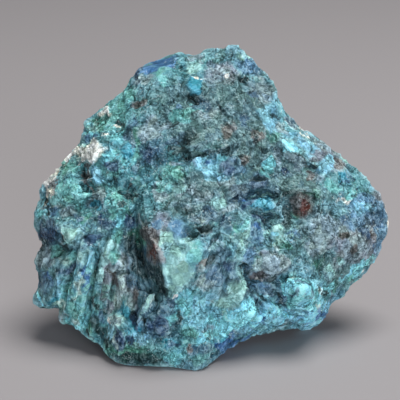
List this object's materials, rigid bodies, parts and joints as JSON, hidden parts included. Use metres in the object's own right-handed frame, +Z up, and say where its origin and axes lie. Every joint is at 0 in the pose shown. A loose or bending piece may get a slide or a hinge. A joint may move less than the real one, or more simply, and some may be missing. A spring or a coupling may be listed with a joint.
{
  "type": "chrysocolla specimen",
  "caption": "Rough lump of chrysocolla, blue-green copper ore with broken faces, ledges, a deep groove, a wedge-shaped block and a fibrous slope, standing on a flat break.",
  "frame": {"origin": "middle of the bounding box's footprint, on the surface that the stone stands on", "axes": "+X along the stone's longest way, to the right of its best side; +Y through its thickness, from the best side to the back; +Z up"},
  "size_m": [0.144, 0.094, 0.1141],
  "materials": {
    "chrysocolla": "matte"
  },
  "bodies": {
    "root": {"chrysocolla_stone": "chrysocolla"}
  },
  "joints": []
}
